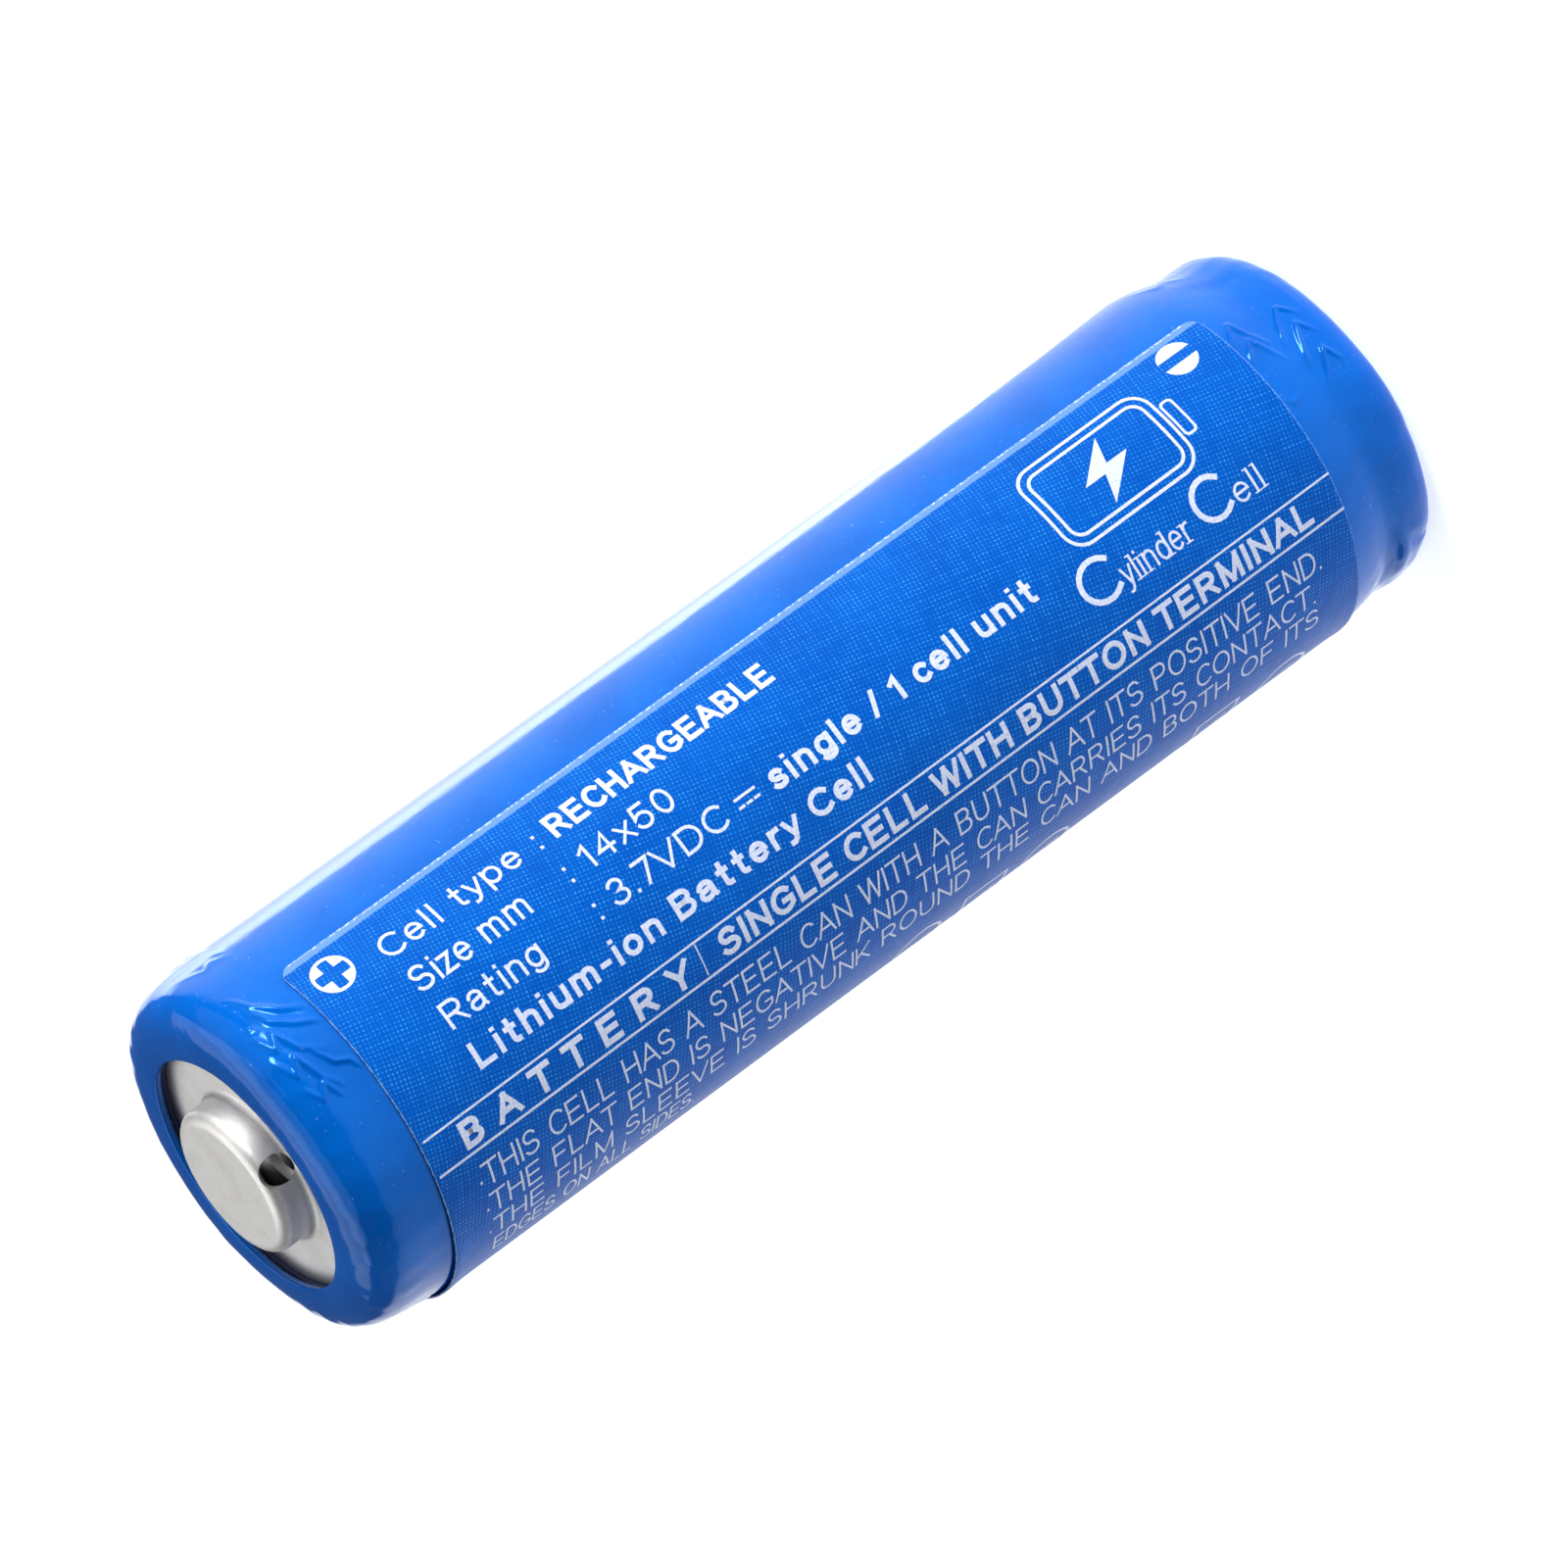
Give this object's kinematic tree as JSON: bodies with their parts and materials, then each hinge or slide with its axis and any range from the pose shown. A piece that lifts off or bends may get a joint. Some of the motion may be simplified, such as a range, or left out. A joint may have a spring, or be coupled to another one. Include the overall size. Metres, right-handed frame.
{
  "type": "cylindrical battery cell",
  "caption": "Cylindrical 14 x 50 mm lithium-ion cell with a vented positive button, a blue heat-shrunk sleeve, a wrapped label, and its crimped can, safety stack, wound electrode roll, tabs and insulators.",
  "frame": {"origin": "centre of the negative end, in the plane of the sleeve's lower lip on which the cell stands", "axes": "+Z along the cell's axis from the negative end to the positive button; +X and +Y are square to it, and -Y is the side that faces a viewer of the label's print"},
  "size_m": [0.0141, 0.0142, 0.05],
  "materials": {
    "sleeve_film": "gloss",
    "label_film": "satin, fine linen grain",
    "can_nickel": "satin nickel plate",
    "cap_nickel": "satin nickel plate",
    "washer_film": "gloss",
    "gasket_plastic": "matte",
    "ptc_polymer": "matte",
    "bare_aluminium": "satin",
    "spacer_plastic": "matte",
    "graphite_coating": "matte",
    "oxide_coating": "matte",
    "separator_film": "translucent matte",
    "tape_film": "gloss",
    "polyimide_film": "gloss",
    "nickel_strip": "satin",
    "insulator_film": "matte"
  },
  "bodies": {
    "root": {"shrink_sleeve": "sleeve_film", "printed_label": "label_film", "cell_can": "can_nickel", "crimp_washer": "washer_film", "crimp_gasket": "gasket_plastic", "terminal_cap": "cap_nickel", "ptc_ring": "ptc_polymer", "vent_disc": "bare_aluminium", "cid_spacer": "spacer_plastic", "cid_plate": "bare_aluminium", "anode_sheet": "graphite_coating", "cathode_sheet": "oxide_coating", "inner_separator": "separator_film", "outer_separator": "separator_film", "roll_tape": "tape_film", "negative_tab": "nickel_strip", "negative_tab_tape": "polyimide_film", "positive_tab": "bare_aluminium", "positive_tab_tape": "polyimide_film", "bottom_insulator": "insulator_film", "top_insulator": "insulator_film"}
  },
  "joints": []
}
